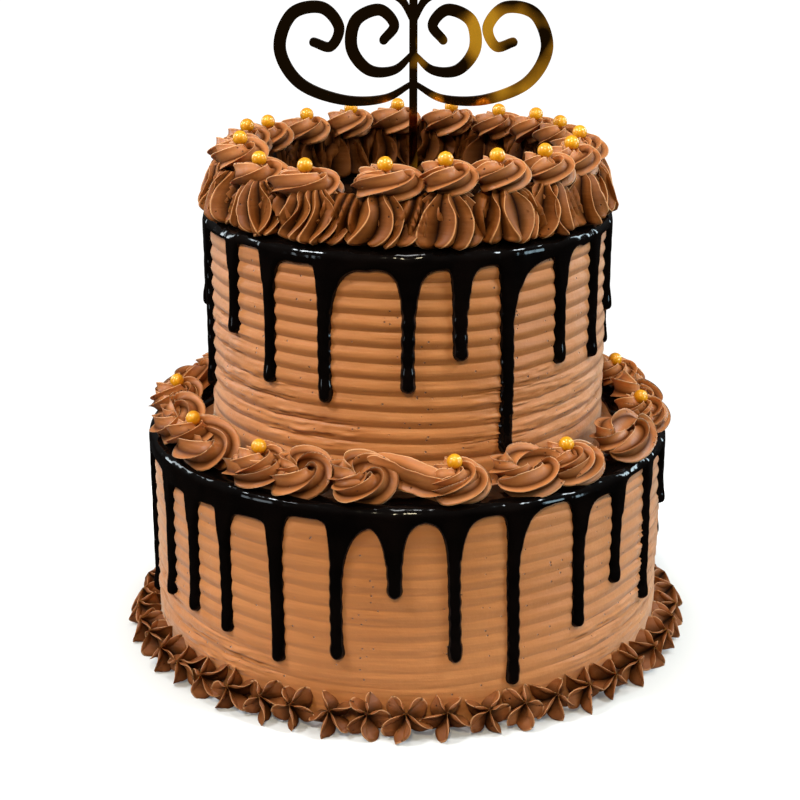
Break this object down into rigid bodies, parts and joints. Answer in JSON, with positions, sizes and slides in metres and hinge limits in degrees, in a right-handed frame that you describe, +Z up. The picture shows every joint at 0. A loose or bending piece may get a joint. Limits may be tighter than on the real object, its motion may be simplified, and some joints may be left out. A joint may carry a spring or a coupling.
{
  "type": "drip cake",
  "caption": "Tiered drip cake with combed chocolate buttercream sides, dark glossy drips, piped stars, roses and swirls, golden sugar pearls and a mirrored scrollwork topper.",
  "frame": {"origin": "on the cake's axis, at its foot", "axes": "+Z up along the cake's axis, and -Y towards the front, the side that the topper's face looks at"},
  "size_m": [0.2838, 0.2838, 0.3595],
  "materials": {
    "buttercream": "soft satin chocolate buttercream, smoothed with a comb",
    "piping": "satin darker chocolate buttercream with paler crests",
    "ganache": "wet-looking near-black ganache",
    "pearl": "pearly gold sugar",
    "mirror_sheet": "polished gold mirror sheet"
  },
  "bodies": {
    "root": {"lower_tier": "buttercream", "upper_tier": "buttercream", "lower_ganache": "ganache", "upper_ganache": "ganache", "base_star_border": "piping", "lower_swirl_border": "piping", "upper_ruffle_border": "piping", "upper_swirl_border": "piping", "topper": "mirror_sheet", "pearl_upper_01": "pearl", "pearl_upper_02": "pearl", "pearl_upper_03": "pearl", "pearl_upper_04": "pearl", "pearl_upper_05": "pearl", "pearl_upper_06": "pearl", "pearl_upper_07": "pearl", "pearl_upper_08": "pearl", "pearl_upper_09": "pearl", "pearl_upper_10": "pearl", "pearl_upper_11": "pearl", "pearl_upper_12": "pearl", "pearl_upper_13": "pearl", "pearl_upper_14": "pearl", "pearl_upper_15": "pearl", "pearl_upper_16": "pearl", "pearl_upper_17": "pearl", "pearl_upper_18": "pearl", "pearl_lower_01": "pearl", "pearl_lower_02": "pearl", "pearl_lower_03": "pearl", "pearl_lower_04": "pearl", "pearl_lower_05": "pearl", "pearl_lower_06": "pearl", "pearl_lower_07": "pearl", "pearl_lower_08": "pearl", "pearl_lower_09": "pearl", "pearl_lower_10": "pearl", "pearl_lower_11": "pearl"}
  },
  "joints": []
}
